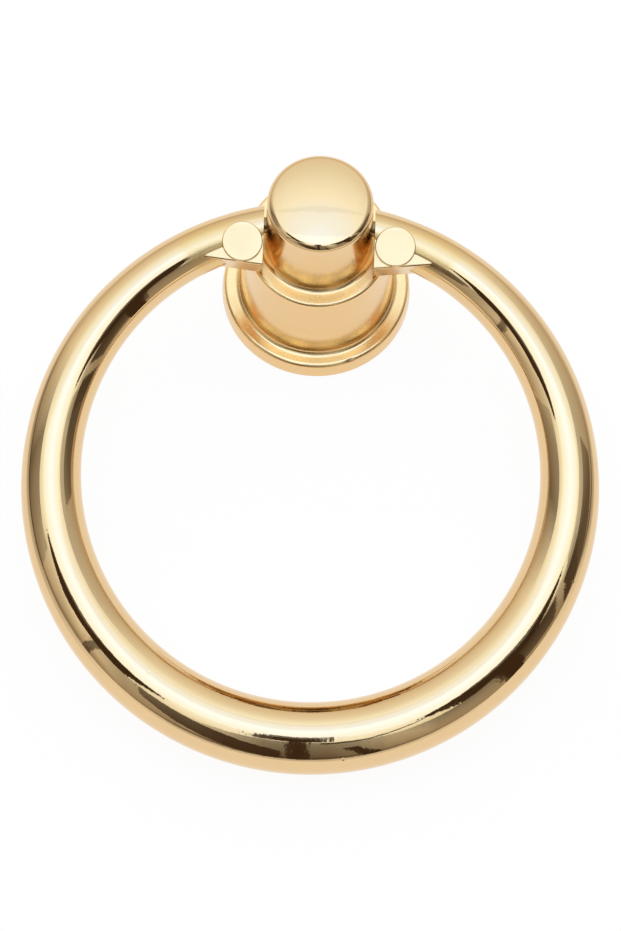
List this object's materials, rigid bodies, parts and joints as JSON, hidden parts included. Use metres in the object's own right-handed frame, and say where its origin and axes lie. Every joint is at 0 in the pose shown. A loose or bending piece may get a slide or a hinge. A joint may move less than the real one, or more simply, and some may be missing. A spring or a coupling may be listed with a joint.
{
  "type": "ring pull handle",
  "caption": "Stepped round post with a tapered ring that swings on a cross pin, screwed to a drawer or cabinet door so that a finger can pull it open.",
  "frame": {"origin": "centre of the foot's back face, at the mouth of the screw hole", "axes": "+Z along the post, away from the surface it is screwed to; X along the hinge pin; the ring lies on the -Y side at rest"},
  "size_m": [0.064, 0.0705, 0.0247],
  "materials": {
    "gold_plate": "polished gold electroplate on a zinc casting",
    "pin_steel": "plain ground steel"
  },
  "bodies": {
    "post": {"post": "gold_plate", "hinge_pin": "pin_steel"},
    "ring": {"ring": "gold_plate"}
  },
  "joints": [
    {"name": "ring_swing", "type": "hinge", "parent": "post", "child": "ring", "pos_m": [0, 0, 0.0173], "axis": [-1, 0, 0], "range_deg": [0, 206]}
  ]
}
